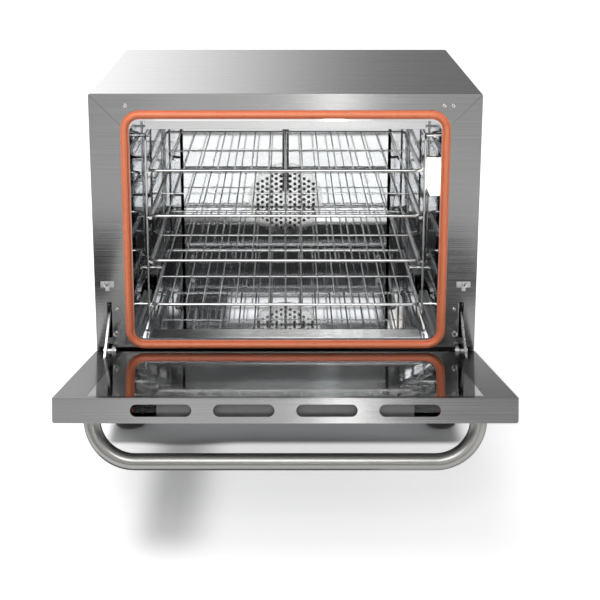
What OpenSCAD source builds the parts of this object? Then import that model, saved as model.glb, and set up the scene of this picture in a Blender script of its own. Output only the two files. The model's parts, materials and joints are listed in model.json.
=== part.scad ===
// Countertop convection oven with a bottom-hinged double-glass door, shown open on its stays.
// A polished cavity holds four wire racks on side ladders, with a fan and a ring heater behind a baffle.
// X runs to the right, Y from the front to the back and Z up. The feet stand on Z = 0.

/* [Body] */
// Space between the cavity and the casing's side
side_space = 61; // [60:1:90]
// Space between the cavity and the rear panel, for the fan's motor
rear_space = 70; // [68:1:120]
// Height of the cavity's floor above the feet, for the controls
control_space = 141; // [139:1:170]
// Thickness of the casing sheet
sheet_t = 1.2; // [0.8:0.1:1.5]
// Outside radius of the casing's bent edges
casing_r = 3; // [2:0.5:5]

/* [Feet] */
// Height of a foot
foot_h = 30; // [20:1:45]
// Radius of a foot at its widest
foot_r = 26; // [18:1:30]
// Distance of a foot's centre from the casing's side
foot_side = 43; // [35:1:70]
// Distance of a foot's centre from the casing's front or back
foot_end = 60; // [45:1:90]

/* [Cavity] */
// Width of the cavity
cavity_w = 478; // [430:1:560]
// Height of the cavity
cavity_h = 350; // [330:1:385]
// Depth of the cavity
cavity_d = 425; // [400:1:500]
// Distance of the cavity's ceiling below the top of the casing
cavity_drop = 42; // [38:1:46]
// Thickness of the cavity's sheet
liner_t = 1.5; // [1:0.1:2]
// Radius of the cavity's long corners
cavity_r = 16; // [10:1:20]
// Thickness of the mineral wool on the sides and top
wool_t = 20; // [12:1:24]

/* [Front frame and seal] */
// Thickness of the front frame's sheet
frame_t = 2; // [1.5:0.1:3]
// Distance of the seal's centreline outside the cavity's sides
seal_side = 7; // [6:0.5:9]
// Distance of the seal's centreline outside the cavity's floor and ceiling
seal_rise = 10; // [8:0.5:11]
// Corner radius of the seal's centreline
seal_r = 23.5; // [20:0.5:28]
// Width of the seal's base
seal_w = 13; // [11:0.5:14]
// Height of the seal in front of the frame
seal_proud = 9.5; // [8:0.1:9.7]

/* [Door] */
// Distance of the hinge axis below the cavity's floor
hinge_drop = 18; // [16:0.5:20]
// Thickness of the door
door_t = 33; // [30:1:38]
// Angle that the door stands open from upright
door_open = 78.14; // [70:0.01:85]
// Distance of the hinge axis in front of the front frame
door_gap = 10; // [9.9:0.1:12]
// Steel on each side of the door's window
window_side = 65; // [64:1:90]
// Steel above and below the door's window
window_end = 55; // [50:1:80]
// Thickness of a door pane
glass_t = 5; // [4:0.5:6]
// Steel border beside the inner pane
border_side = 42; // [40:1:46]
// Steel border of the inner pane at the free end
border_end = 14; // [10:1:20]
// Steel border of the inner pane at the hinges
border_hinge = 6; // [5:0.5:8]
// Number of cooling slots in each end of the door
cool_count = 4; // [3:1:5]
// Length of a cooling slot
cool_l = 79; // [60:1:90]
// Width of a cooling slot
cool_w = 16; // [8:1:18]
// Distance between cooling slots
cool_pitch = 107; // [95:1:110]

/* [Handle] */
// Radius of the handle's tube
handle_r = 11.25; // [9:0.25:14]
// Distance of each of the handle's legs from the door's side
handle_side = 45; // [40:1:60]
// Distance of the handle's bar from the door
handle_off = 60; // [50:1:70]
// Distance of the handle from the door's free end
handle_end = 45; // [30:1:60]
// Radius of the foot plate under each leg
rosette_r = 15; // [14:0.5:20]
// Thickness of the foot plate under each leg
rosette_t = 3; // [2:0.5:5]

/* [Hinges and stays] */
// Distance of each hinge from the casing's side
hinge_side = 22; // [21:0.5:24]
// Radius of the hinge pin
pin_r = 4; // [3:0.25:4.5]
// Radius of the eyes round the hinge pin
eye_r = 8; // [7.5:0.25:9]
// Thickness of the hinge plates
plate_t = 2; // [1.5:0.1:2.2]
// Clear width between the two plates of a receiver
plate_gap = 8; // [7:0.1:9]
// Height of the stay's slot in the front frame
slot_h = 59; // [56:1:62]
// Width of the stay's slot in the front frame
slot_w = 10; // [9:0.5:12]
// Height of the slot's lower end above the hinge axis
slot_low = 19; // [18:0.5:22]
// Thickness of the stay's bar
stay_t = 3; // [2:0.25:4]
// Half width of the stay's bar
stay_half = 4.5; // [3.5:0.25:5]
// Length of the stay between its two pins
stay_l = 115; // [108:1:120]
// Distance of the stay's door pin from the hinge axis, along the door
stay_v = 68; // [64:1:70]
// Depth of the stay's door pin under the door's inner face
stay_in = 6; // [5:0.5:7]
// Radius of the stay's two pins
stay_pin_r = 3; // [2.5:0.1:3.2]
// Slope of the stay with the door open
stay_open = 31; // [30:0.5:32]
// Slope of the stay with the door shut
stay_shut = 5; // [4:0.5:6]

/* [Racks] */
// Number of racks
rack_count = 4; // [4:1:4]
// Room between a rack and the cavity's side
rack_room = 21.5; // [21:0.5:26]
// Room between a rack and the air baffle
rack_back = 16; // [15:1:36]
// Distance of the racks behind the front frame
rack_in = 44; // [42:1:48]
// Height of the lowest rack above the cavity's floor
rack_low = 40.9; // [38:0.1:46]
// Height of the cavity's ceiling above the top rack
rack_head = 88; // [80:0.5:105]
// Radius of a rack's rim wire
rim_r = 2.5; // [2:0.1:3]
// Bend radius of a rack's corners
rack_corner = 12; // [8:1:20]
// Radius of a rack's cross wires
wire_r = 1.4; // [1:0.1:1.8]
// Number of cross wires in a rack
wire_count = 15; // [9:2:19]

/* [Ladders] */
// Distance of a ladder's loop from the cavity's side
ladder_side = 18; // [17:0.1:18.5]
// Radius of a ladder's wire
ladder_r = 2; // [1.5:0.1:2]
// Distance of the ladders' front posts behind the front frame
ladder_in = 58; // [55:1:70]
// Distance of the ladders' rear posts in front of the air baffle
ladder_back = 30; // [27:1:60]
// Distance of a ladder's top wire below the cavity's ceiling
ladder_head = 36; // [32:1:45]
// Height of a ladder's bottom wire above the cavity's floor
ladder_low = 19; // [16:0.5:20]
// Bend radius of a ladder's corners
ladder_bend = 8; // [6:1:12]
// Radius of the studs that carry a ladder
stud_r = 3; // [2:0.25:3.5]

/* [Air baffle and fan] */
// Distance of the air baffle in front of the cavity's back wall
fan_space = 45; // [43:0.5:45.5]
// Gap for the air between the baffle and the cavity's side
air_gap = 47; // [39:1:54]
// Thickness of the air baffle
baffle_t = 1.5; // [1:0.1:2]
// Height of the fan's centre above the cavity's floor
fan_up = 133; // [128:1:140]
// Radius of the fan guard
guard_r = 68; // [66:1:70]
// Thickness of the fan guard
guard_t = 1.2; // [1:0.1:1.5]
// Rings of holes in the guard, round its centre screw
hole_rings = 6; // [4:1:6]
// Radius of one hole in the guard
hole_r = 2.9; // [1.5:0.1:3.1]
// Distance between the guard's holes
hole_pitch = 9.75; // [9:0.25:10]
// Radius of the fan wheel
wheel_r = 78; // [70:1:80]
// Width of the fan wheel
wheel_w = 30; // [24:1:31]
// Number of blades on the fan wheel
blade_count = 12; // [8:1:14]
// Radius of the fan shaft
shaft_r = 4; // [3:0.25:5]
// Radius of the ring heater
heater_r = 97; // [94:1:104]
// Radius of the heater's tube
heater_tube = 4; // [3:0.25:4.5]
// Radius of the fan motor
motor_r = 38; // [30:1:42]
// Length of the fan motor
motor_l = 42; // [34:1:44]

/* [Cavity fittings] */
// Radius of the steam tube
steam_r = 6; // [4:0.25:6.5]
// Height of the steam tube's mouth above the fan's centre
steam_up = 18; // [12:1:40]
// Length of the lamp's glass
lamp_l = 70; // [60:1:74]
// Height of the lamp's glass
lamp_h = 48; // [40:1:56]
// Distance of the lamp's centre below the cavity's ceiling
lamp_drop = 99; // [88:1:110]
// Distance of the lamp's glass behind the front frame
lamp_in = 20; // [16:1:26]
// Distance that the lamp's glass stands out of the wall
lamp_proud = 13; // [10:0.5:14]

/* [Controls] */
// Thickness of the control panel
panel_t = 1.5; // [1:0.1:2]
// Distance of each knob from the panel's middle
knob_x = 90; // [70:1:140]
// Radius of a knob's skirt
knob_r = 26; // [20:1:27]
// Height of a knob
knob_h = 24; // [16:1:26]
// Height of the knobs' centre above the feet's top
knob_up = 56; // [50:1:58]
// Distance of the steam button from the panel's middle
button_x = 210; // [185:1:230]
// Radius of the steam button
button_r = 9; // [7:0.5:12]
// Travel of the steam button
button_travel = 3; // [2:0.5:4]

/* [Rear fittings] */
// Outside radius of the exhaust pipe
exhaust_r = 15; // [12:0.5:20]
// Length of the exhaust pipe behind the casing
exhaust_out = 35; // [20:1:60]
// Outside radius of the water inlet's thread
inlet_r = 10; // [8:0.5:13]
// Bore radius of the cable gland
gland_bore = 4.5; // [3:0.25:6]

/* [Hidden] */
$fn = 48;

// Clearances
seat = 0.3;
running = 0.05;
edge_gap = 0.2;
// Size of the casing and of the door
body_w = cavity_w + 2 * side_space;
body_d = cavity_d + rear_space;
door_h = cavity_h + cavity_drop + hinge_drop;
// Heights of the main lines
floor_z = foot_h + control_space;
ceiling_z = floor_z + cavity_h;
top_z = ceiling_z + cavity_drop;
hinge_z = floor_z - hinge_drop;
cavity_mid = (ceiling_z + floor_z) / 2;
fan_z = floor_z + fan_up;
knob_z = foot_h + knob_up;
// Front frame and control panel meet just below the hinge axis
frame_low = hinge_z - 3;
panel_high = frame_low - 1;
panel_low = foot_h + 1;
// Fittings that keep their distance from the cavity's walls
baffle_in = cavity_d - fan_space;
baffle_w = cavity_w - 2 * air_gap;
rack_w = cavity_w - 2 * rack_room;
rack_d = baffle_in - rack_in - rack_back;
rack_pitch = (cavity_h - rack_low - rack_head) / (rack_count - 1);
ladder_x = cavity_w / 2 - ladder_side;
ladder_d = baffle_in - ladder_in - ladder_back;
ladder_top = cavity_h - ladder_head;
lamp_up = cavity_h - lamp_drop;
// Fittings that keep their distance from the casing's and the door's sides
hinge_x = body_w / 2 - hinge_side;
handle_span = body_w - 2 * handle_side;
window_w = body_w - 2 * window_side;
window_h = door_h - 2 * window_end;
window_lap = 12;
// Drop of the top rail's screws, and depth of the lamps behind the panel
rail_drop = 18;
pilot_deep = 16;
// Receiver: the height and depth of its plates, and the tabs that the frame's screws go into
receiver_high = slot_low + slot_h + 27;
receiver_deep = stay_l - 3;
track_h = 51;
tab_w = 19;
tab_low = 17;
tab_h = 17;
// Seal path, its foot and the edges on both sides of the foot
seal_path_w = cavity_w + 2 * seal_side;
seal_path_h = cavity_h + 2 * seal_rise;
seal_foot = 2.4;
seal_slot = seal_foot / 2 + seat;
flange_t = 1.5;
// Door measures in its own frame: x across, y = 0 at the inner face, z up from the hinge axis
pane_w = body_w - 2 * border_side;
pane_low = border_hinge;
pane_high = door_h - border_end;
ledge = 8;
end_back = -(door_gap + door_h * sin(door_open) + door_t * cos(door_open));
// The object's box is centred front to back on Y = 0
back_reach = body_d + exhaust_out;
centre_y = -(back_reach + end_back) / 2;
// Ring and fan chamber behind the baffle
wheel_in = cavity_d - 7 - wheel_w;
heater_in = baffle_in + baffle_t + 9;
heater_step = 14;
wool_back = 13;
wool_end = cavity_d + liner_t + wool_back + seat;
plate_in = wool_end + seat;
motor_in = plate_in + 2 + seat;
steam_in = baffle_in - seat - guard_t - steam_r - seat;
// Rack levels, the highest first
rack_levels = [for (i = [rack_count - 1:-1:0]) floor_z + rack_low + i * rack_pitch];
runner_r = 2.5;
runner_x = rack_w / 2 - rim_r;
stud_top_z = floor_z + ladder_top - ladder_r - seat - stud_r;
stud_low_z = floor_z + ladder_low + ladder_r + seat + stud_r;
// Exhaust, probe, inlet and gland places
exhaust_x = 89 - cavity_w / 2;
exhaust_z = ceiling_z - 35;
probe_x = cavity_w / 2 - 109;
probe_z = ceiling_z - 60;
inlet_x = body_w / 2 - 100;
gland_x = 80 - body_w / 2;
service_z = foot_h + 55;

echo(centre_y=centre_y, end_back=end_back, levels=rack_levels, stay_ratio=stay_ratio());

// Places a part whose y = 0 is the front frame's face
module place() translate([0, centre_y, 0]) children();

// Places a part of the door, turned open about the hinge axis
module on_door() place() translate([0, -door_gap, hinge_z]) rotate([door_open, 0, 0]) children();

// Stands a flat outline, drawn with x across and y up, and makes it deep from y0 to the back
module upright(y0, deep) translate([0, y0 + deep, 0]) rotate([90, 0, 0]) linear_extrude(deep) children();

// Stands a flat outline, drawn with x to the back and y up, and makes it wide from x0 to the right
module sideways(x0, wide) translate([x0, 0, 0]) rotate([90, 0, 90]) linear_extrude(wide) children();

// A round bar along Y, from y0 to the back
module bar_y(r, y0, deep) translate([0, y0, 0]) rotate([-90, 0, 0]) cylinder(r=r, h=deep);

// A round bar along X, centred
module bar_x(r, wide) rotate([0, 90, 0]) cylinder(r=r, h=wide, center=true);

module rounded(w, h, r) {
  square([w - 2 * r, h], center=true);
  square([w, h - 2 * r], center=true);
  for (x = [-1, 1], y = [-1, 1])
    translate([x * (w / 2 - r), y * (h / 2 - r)]) circle(r=r);
}

module slot_shape(l, w) {
  square([l - w, w], center=true);
  for (x = [-1, 1]) translate([x * (l - w) / 2, 0]) circle(d=w);
}

// Casing outline from height z0 up, drawn in by a margin, with bent upper edges
module casing_shape(z0, margin) {
  r = max(casing_r - margin, 0.5);
  half = body_w / 2 - margin;
  high = top_z - margin;
  translate([-half, z0]) square([2 * half, high - r - z0]);
  translate([r - half, z0]) square([2 * (half - r), high - z0]);
  for (x = [-1, 1]) translate([x * (half - r), high - r]) circle(r=r);
}

module cavity_shape(margin_w, margin_h, r)
  translate([0, cavity_mid]) rounded(cavity_w + 2 * margin_w, cavity_h + 2 * margin_h, r);

module seal_path_shape(margin)
  cavity_shape(seal_side + margin, seal_rise + margin, seal_r + margin);

// Casing: one sheet bent over the top and down both sides
module outer_casing() color("gainsboro") place()
  upright(frame_t + edge_gap, body_d - frame_t - sheet_t - 2 * edge_gap) difference() {
    casing_shape(foot_h, 0);
    casing_shape(foot_h - 1, sheet_t);
  }

// Front frame with its mitred corners, stay slots, hinge notches and folded edge
module front_frame() color("silver") place() {
  mitre = 1.4;
  mitre_l = (side_space - 12) * sqrt(2);
  fold = 14;
  difference() {
    union() {
      upright(0, frame_t) casing_shape(frame_low, 0);
      upright(frame_t, fold) difference() {
        casing_shape(frame_low + 2, sheet_t + edge_gap);
        casing_shape(frame_low, 2 * sheet_t + edge_gap);
      }
    }
    upright(-1, frame_t + 2) seal_path_shape(seal_slot);
    for (s = [-1, 1]) {
      translate([s * hinge_x, 0, hinge_z + slot_low + slot_h / 2])
        cube([slot_w, 3 * frame_t, slot_h], center=true);
      translate([s * hinge_x, 0, hinge_z])
        cube([plate_gap + 2 * plate_t + 1, 3 * frame_t, 2 * eye_r + 1], center=true);
      translate([s * body_w / 2, 0, top_z]) rotate([0, s * 45, 0])
        translate([0, 0, -mitre_l / 2]) cube([mitre, mitre, mitre_l], center=true);
      for (p = receiver_screws) translate([s * p[0], 0, p[1]]) bar_y(2.6, -1, frame_t + 2);
    }
    for (p = rail_screws) translate([p[0], 0, p[1]]) bar_y(2.2, -1, frame_t + 2);
  }
}

// Screws through the stiles into the hinge receivers, and on the top rail
receiver_screws = [
  [hinge_x + 3, hinge_z + receiver_high + 2],
  [hinge_x - 10, hinge_z + tab_low + tab_h / 2]
];
rail_screws = [
  for (x = [-cavity_w / 2 - 4.5, cavity_w / 2 + 2.5, cavity_w / 2 + 16]) [x, top_z - rail_drop]
];

module pan_screw(head_r, shank_r, shank_l) {
  rotate([90, 0, 0]) rotate_extrude() difference() {
    square([head_r, head_r * 0.6]);
    translate([head_r * 0.75, head_r * 0.6]) rotate(-35) square([head_r, head_r]);
  }
  bar_y(shank_r, -0.5, shank_l + 0.5);
}

module frame_screws() color("lightgray") place() {
  for (s = [-1, 1], p = receiver_screws) translate([s * p[0], 0, p[1]]) pan_screw(4.5, 2.3, 9);
  for (p = rail_screws) translate([p[0], 0, p[1]]) pan_screw(3.2, 1.9, 7);
}

// Rear panel with the motor's louvres and the service holes
module rear_panel() color("silver") place() upright(body_d - sheet_t, sheet_t) difference() {
  casing_shape(foot_h, 0);
  for (x = [-1, 1], row = [-6:6]) translate([x * 62, fan_z + row * 13]) slot_shape(90, 5);
  for (x = [-1, 0, 1]) translate([x * 90, foot_h + 20]) slot_shape(70, 6);
  translate([exhaust_x, exhaust_z]) circle(r=exhaust_r + seat);
  translate([inlet_x, service_z]) circle(r=inlet_r + seat);
  translate([gland_x, service_z]) circle(r=gland_bore + 5 + seat);
}

// Base pan, folded up on all four sides
module base_pan() color("silver") place() {
  half = body_w / 2 - sheet_t - edge_gap;
  y0 = frame_t + edge_gap;
  deep = body_d - sheet_t - edge_gap - y0;
  difference() {
    translate([-half, y0, foot_h]) cube([2 * half, deep, pan_h]);
    translate([sheet_t - half, y0 + sheet_t, foot_h + sheet_t])
      cube([2 * (half - sheet_t), deep - 2 * sheet_t, pan_h]);
    for (p = foot_places) translate([p[0], p[1], foot_h - 1]) cylinder(r=foot_stud_r + seat, h=20);
    for (x = [-1, 1], row = [0:4]) translate([x * 90, 190 + row * 18, foot_h - 1])
      linear_extrude(4) slot_shape(110, 6);
  }
}

pan_h = 16;
foot_stud_r = 4;
foot_places = [
  for (y = [foot_end, body_d - foot_end], x = [-1, 1]) [x * (body_w / 2 - foot_side), y]
];

// Foot: a moulded cup on a threaded stud with a nut inside the pan
module foot(p) color("dimgray") place() translate([p[0], p[1], 0]) {
  rotate_extrude() polygon([
    [0, 0], [foot_r - 5, 0], [foot_r - 1, 2], [foot_r, 5], [foot_r, foot_h - 14],
    [foot_r - 3, foot_h - 9], [foot_r - 8, foot_h - 6], [foot_r - 9, foot_h], [0, foot_h]
  ]);
  cylinder(r=foot_stud_r, h=foot_h + 10);
}

module foot_front_left() foot(foot_places[0]);
module foot_front_right() foot(foot_places[1]);
module foot_rear_left() foot(foot_places[2]);
module foot_rear_right() foot(foot_places[3]);

// Control panel with the holes for what it carries
module control_panel() color("silver") place() {
  fold = 12;
  difference() {
    union() {
      translate([-body_w / 2, 0, panel_low]) cube([body_w, panel_t, panel_high - panel_low]);
      for (z = [panel_low + pan_h + 0.5, panel_high - panel_t])
        translate([-body_w / 2 + 6, 0, z]) cube([body_w - 12, fold, panel_t]);
    }
    for (x = [-1, 1]) {
      translate([x * knob_x, 0, knob_z]) bar_y(bush_r + seat, -1, panel_t + 2);
      translate([x * knob_x, 0, lamp_z]) bar_y(pilot_r + seat, -1, panel_t + 2);
      translate([x * hinge_x, 0, hinge_z])
        cube([plate_gap + 2 * plate_t + 1, 3 * fold, 2 * eye_r + 1], center=true);
    }
    translate([button_x, 0, knob_z]) bar_y(button_r + 1.6 + seat, -1, panel_t + 2);
  }
}

bush_r = 5;
pilot_r = 4.5;
lamp_z = knob_z + knob_r + 10;

// Thermostat and timer: a body behind the panel with a bush through it
module regulator(x, w, h, d) color("dimgray") place() translate([x, 0, knob_z]) difference() {
  union() {
    bar_y(bush_r, -1.5, panel_t + 2.5);
    translate([-w / 2, panel_t, -h / 2]) cube([w, d, h]);
    for (t = [-1, 1]) translate([t * w / 4 - 3, panel_t + d, -h / 2 + 4]) cube([6, 8, 1]);
  }
  bar_y(stem_r + running, -5, panel_t + stem_l + 7);
}

stem_r = 3;
stem_l = 20;

module thermostat() regulator(-knob_x, 44, 40, 34);
module timer() regulator(knob_x, 48, 46, 40);

// Knob: a skirt, a tapered body with a grip and a stem into the regulator
module knob(x) color("black") place() translate([x, 0, knob_z]) {
  gap = 1.9;
  skirt = 3;
  grip = 7;
  rotate([90, 0, 0]) {
    translate([0, 0, gap]) difference() {
      union() {
        cylinder(r=knob_r, h=skirt);
        cylinder(r1=knob_r - 5, r2=knob_r - 7, h=knob_h - gap);
      }
      for (s = [0, 1]) mirror([s, 0, 0]) translate([grip, -knob_r, skirt + 3])
        cube([knob_r, 2 * knob_r, knob_h]);
    }
    translate([0, 0, -panel_t - stem_l]) cylinder(r=stem_r, h=panel_t + stem_l + gap + 1);
  }
}

module thermostat_knob() knob(-knob_x);
module timer_knob() knob(knob_x);

// Steam button in its bezel, with the switch behind
module steam_switch() color("dimgray") place() translate([button_x, 0, knob_z]) difference() {
  union() {
    bar_y(button_r + 5, -2.5, 2.5);
    bar_y(button_r + 1.6, -1, panel_t + 3);
    translate([-12, panel_t + 2, -10]) cube([24, 26, 20]);
  }
  bar_y(button_r + running, -4, 5 + panel_t + button_travel);
  bar_y(stem_r + running, 0, panel_t + 20);
}

module steam_button() color("black") place() translate([button_x, 0, knob_z]) {
  rotate([90, 0, 0]) rotate_extrude() polygon([
    [0, -panel_t - 0.5], [button_r, -panel_t - 0.5], [button_r, 5], [button_r - 1, 6], [0, 6]
  ]);
  bar_y(stem_r, 0, panel_t + 12);
}

module pilot_lamps() color("orange") place() for (x = [-1, 1]) translate([x * knob_x, 0, lamp_z]) {
  rotate([90, 0, 0]) rotate_extrude() polygon([
    [0, 0], [pilot_r + 1.5, 0], [pilot_r + 1.5, 1], [pilot_r - 0.5, 2.5], [0, 3]
  ]);
  bar_y(pilot_r, -0.5, pilot_deep + 0.5);
}

// Cavity: a polished box with round corners, an outward lip and holes for its fittings
module cavity_liner() color("lightgray") place() difference() {
  union() {
    upright(0, cavity_d + liner_t) cavity_shape(liner_t, liner_t, cavity_r + liner_t);
    upright(0, flange_t) seal_path_shape(-seal_slot);
  }
  upright(-1, cavity_d + 1) cavity_shape(0, 0, cavity_r);
  translate([0, 0, fan_z]) bar_y(motor_boss_r + seat, cavity_d - 1, 2 * liner_t);
  for (a = heater_from) leg_place(a) bar_y(leg_r + seat, cavity_d - 1, 2 * liner_t);
  translate([probe_x, 0, probe_z]) bar_y(3 + seat, cavity_d - 1, 2 * liner_t);
  translate([exhaust_x, 0, exhaust_z]) bar_y(exhaust_r + seat, cavity_d - 1, 2 * liner_t);
  translate([0, steam_in, ceiling_z - 1]) cylinder(r=steam_r + seat, h=2 * liner_t);
  lamp_cut(8, cavity_w / 2 - 1, 3 * liner_t);
}

motor_boss_r = 12;

module lamp_cut(less, x0, wide)
  sideways(x0, wide) translate([lamp_in + lamp_l / 2, floor_z + lamp_up])
    rounded(lamp_l - less, lamp_h - less, 4);

// Mineral wool wrapped round the cavity and packed behind it
module insulation() color("khaki") place() {
  w = cavity_w / 2 + liner_t;
  low = floor_z - liner_t - 16;
  difference() {
    translate([-w - wool_t, 20, low])
      cube([2 * (w + wool_t), wool_end - 20, ceiling_z + liner_t + wool_t - low]);
    upright(-1, cavity_d + liner_t + seat + 1)
      cavity_shape(liner_t + seat, liner_t + seat, cavity_r + liner_t + seat);
    translate([0, 0, fan_z]) bar_y(motor_boss_r + 1, cavity_d, 40);
    for (a = heater_from) leg_place(a) bar_y(leg_r + 1, cavity_d, 40);
    for (p = post_places) translate([p[0], 0, fan_z + p[1]]) bar_y(5, cavity_d, 40);
    translate([probe_x, 0, probe_z]) bar_y(4, cavity_d, 40);
    translate([exhaust_x, 0, exhaust_z]) bar_y(exhaust_r + 1, cavity_d, 40);
    translate([0, steam_in, ceiling_z]) cylinder(r=steam_r + 1, h=40);
    lamp_cut(-2, w, 40);
  }
}

// Seal: a silicone bulb on a flat base with a foot pressed into the slot round the cavity's lip
module seal_profile() {
  bulb = seal_proud / 2 - 0.2;
  translate([0, seal_proud - bulb]) circle(r=bulb);
  translate([-seal_w / 2, 0]) square([seal_w, 2.5]);
  translate([-seal_foot / 2, -8]) square([seal_foot, 9]);
}

module door_seal() color("coral") place() translate([0, 0, cavity_mid]) rotate([90, 0, 0]) {
  w = seal_path_w / 2 - seal_r;
  h = seal_path_h / 2 - seal_r;
  for (s = [0, 180]) rotate(s) {
    translate([-w, seal_path_h / 2, 0]) rotate([90, 0, 90]) linear_extrude(2 * w) seal_profile();
    rotate(90) translate([-h, seal_path_w / 2, 0]) rotate([90, 0, 90]) linear_extrude(2 * h) seal_profile();
    translate([w, h, 0]) rotate_extrude(angle=90) translate([seal_r, 0]) seal_profile();
    translate([-w, h, 0]) rotate(90) rotate_extrude(angle=90) translate([seal_r, 0]) seal_profile();
  }
}

// A closed wire loop in the XY plane with bent corners, centred
module wire_loop(w, d, r, bend) {
  for (s = [0, 180]) rotate(s) {
    translate([0, d / 2, 0]) bar_x(r, w - 2 * bend);
    translate([w / 2, 0, 0]) rotate(90) bar_x(r, d - 2 * bend);
    translate([w / 2 - bend, d / 2 - bend, 0]) rotate_extrude(angle=90) translate([bend, 0]) circle(r=r);
    translate([bend - w / 2, d / 2 - bend, 0]) rotate(90)
      rotate_extrude(angle=90) translate([bend, 0]) circle(r=r);
  }
}

// Ladder: a wire loop with a runner for each rack, tied in to both posts
module ladder(s) color("silver") place() {
  mid = floor_z + (ladder_top + ladder_low) / 2;
  translate([s * ladder_x, ladder_in + ladder_d / 2, mid]) rotate([0, 90, 0])
    wire_loop(ladder_top - ladder_low, ladder_d, ladder_r, ladder_bend);
  for (z = rack_levels) {
    runner_z = z - rim_r - seat - runner_r;
    translate([s * runner_x, 0, runner_z]) bar_y(runner_r, ladder_in - 4, ladder_d + 8);
    for (y = [ladder_in, ladder_in + ladder_d])
      translate([s * (runner_x + ladder_x) / 2, y, runner_z]) bar_x(1.8, ladder_x - runner_x + 2);
  }
}

module ladder_left() ladder(-1);
module ladder_right() ladder(1);

// Headed studs in the cavity's walls: the ladders hang on the upper ones and sit under the lower ones
module ladder_studs() color("gray") place()
  for (s = [-1, 1], y = [ladder_in + 42, ladder_in + ladder_d - 42], z = [stud_top_z, stud_low_z])
    translate([s * cavity_w / 2, y, z]) rotate([0, -s * 90, 0]) {
      cylinder(r=stud_r, h=cavity_w / 2 - ladder_x + ladder_r + seat);
      cylinder(r=stud_r + 2.5, h=2);
      translate([0, 0, cavity_w / 2 - ladder_x + ladder_r + seat]) cylinder(r=stud_r + 2, h=1.2);
    }

// Rack: a bent rim, cross wires from front to back and one bar under them
module rack(level) color("silver") place() translate([0, rack_in + rack_d / 2, rack_levels[level]]) {
  across = (rack_w - 2 * rim_r) / (wire_count + 1);
  wire_loop(rack_w - 2 * rim_r, rack_d - 2 * rim_r, rim_r, rack_corner);
  for (i = [1:wire_count]) translate([i * across - rack_w / 2 + rim_r, 0, 0])
    rotate(90) bar_x(wire_r, rack_d - 3 * rim_r);
  translate([0, 0, 1 - rim_r]) bar_x(1.3, rack_w - 3 * rim_r);
}

module rack_1() rack(0);
module rack_2() rack(1);
module rack_3() rack(2);
module rack_4() rack(3);

// Air baffle with side edges folded back and the fan's intake in it
module air_baffle() color("lightgray") place() difference() {
  lip = 6;
  edge = [
    [baffle_w / 2 - lip, 0], [baffle_w / 2, lip], [baffle_w / 2, lip + 8],
    [baffle_w / 2 - baffle_t, lip + 8], [baffle_w / 2 - baffle_t, lip + 0.6],
    [baffle_w / 2 - lip - 0.6, baffle_t]
  ];
  other = [for (i = [len(edge) - 1:-1:0]) [-edge[i][0], edge[i][1]]];
  translate([0, baffle_in, floor_z + seat]) linear_extrude(cavity_h - 2 * seat) polygon(concat(edge, other));
  translate([0, 0, fan_z]) bar_y(guard_r - 5, 0, body_d);
  for (p = baffle_posts) translate([p[0], 0, p[1]]) bar_y(2.5, 0, body_d);
}

baffle_posts = [for (x = [-1, 1], z = [floor_z + 22, ceiling_z - 22]) [x * (baffle_w / 2 - 20), z]];

module baffle_screws() color("gray") place() for (p = baffle_posts) translate([p[0], 0, p[1]]) {
  bar_y(4, baffle_in + baffle_t, cavity_d - baffle_in - baffle_t);
  translate([0, baffle_in, 0]) pan_screw(4.2, 2.2, 4);
}

// Fan guard: a disc with a six-sided field of staggered round holes and a centre screw
module fan_guard() color("silver") place() {
  guard_in = baffle_in - seat - guard_t;
  column = hole_pitch * sqrt(3) / 2;
  translate([0, 0, fan_z]) upright(guard_in, guard_t) difference() {
    circle(r=guard_r);
    for (c = [-hole_rings:hole_rings], r = [0:2 * hole_rings - abs(c)])
      if (c != 0 || r != hole_rings)
        translate([c * column, (r - hole_rings + abs(c) / 2) * hole_pitch]) circle(r=hole_r);
  }
  translate([0, guard_in, fan_z]) pan_screw(4, 2, 3);
}

// Fan wheel: a back disc, curved blades and a front ring, on a hub
module blade_shape() intersection() {
  difference() {
    circle(r=wheel_r - 1);
    circle(r=wheel_r * 0.62);
  }
  translate([wheel_r * 0.45, -wheel_r * 0.58]) difference() {
    circle(r=wheel_r * 0.58 + 0.6);
    circle(r=wheel_r * 0.58 - 0.6);
  }
  polygon([[0, 0], [1.3 * wheel_r, -0.9 * wheel_r], [1.3 * wheel_r, 0.4 * wheel_r]]);
}

module fan_wheel() color("silver") place() translate([0, 0, fan_z]) difference() {
  union() {
    upright(wheel_in + wheel_w - 1.5, 1.5) circle(r=wheel_r);
    upright(wheel_in, 1.5) difference() {
      circle(r=wheel_r);
      circle(r=wheel_r * 0.66);
    }
    upright(wheel_in + 1, wheel_w - 2) for (i = [0:blade_count - 1])
      rotate(i * 360 / blade_count) blade_shape();
    bar_y(shaft_r + 6, wheel_in + wheel_w - 16, 16);
  }
  bar_y(shaft_r + running, 0, body_d);
}

module fan_shaft() color("gray") place() translate([0, 0, fan_z])
  bar_y(shaft_r, wheel_in + wheel_w - 24, motor_in + motor_l - 8 - wheel_in - wheel_w + 24);

module fan_nut() color("gray") place() translate([0, wheel_in + wheel_w - 22, fan_z]) rotate([-90, 0, 0])
  difference() {
    cylinder(r=7.5, h=5.8, $fn=6);
    translate([0, 0, -1]) cylinder(r=shaft_r + running, h=10);
  }

// Ring heater: two open turns of tube joined at one end, with two legs through the back wall
heater_from = [20, 40];
heater_to = 335;
leg_r = heater_tube - 0.5;

// Place of the leg near the start of a turn, a few degrees in from its end
module leg_place(a) translate([heater_r * cos(a + 4), 0, fan_z + heater_r * sin(a + 4)]) children();

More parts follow.
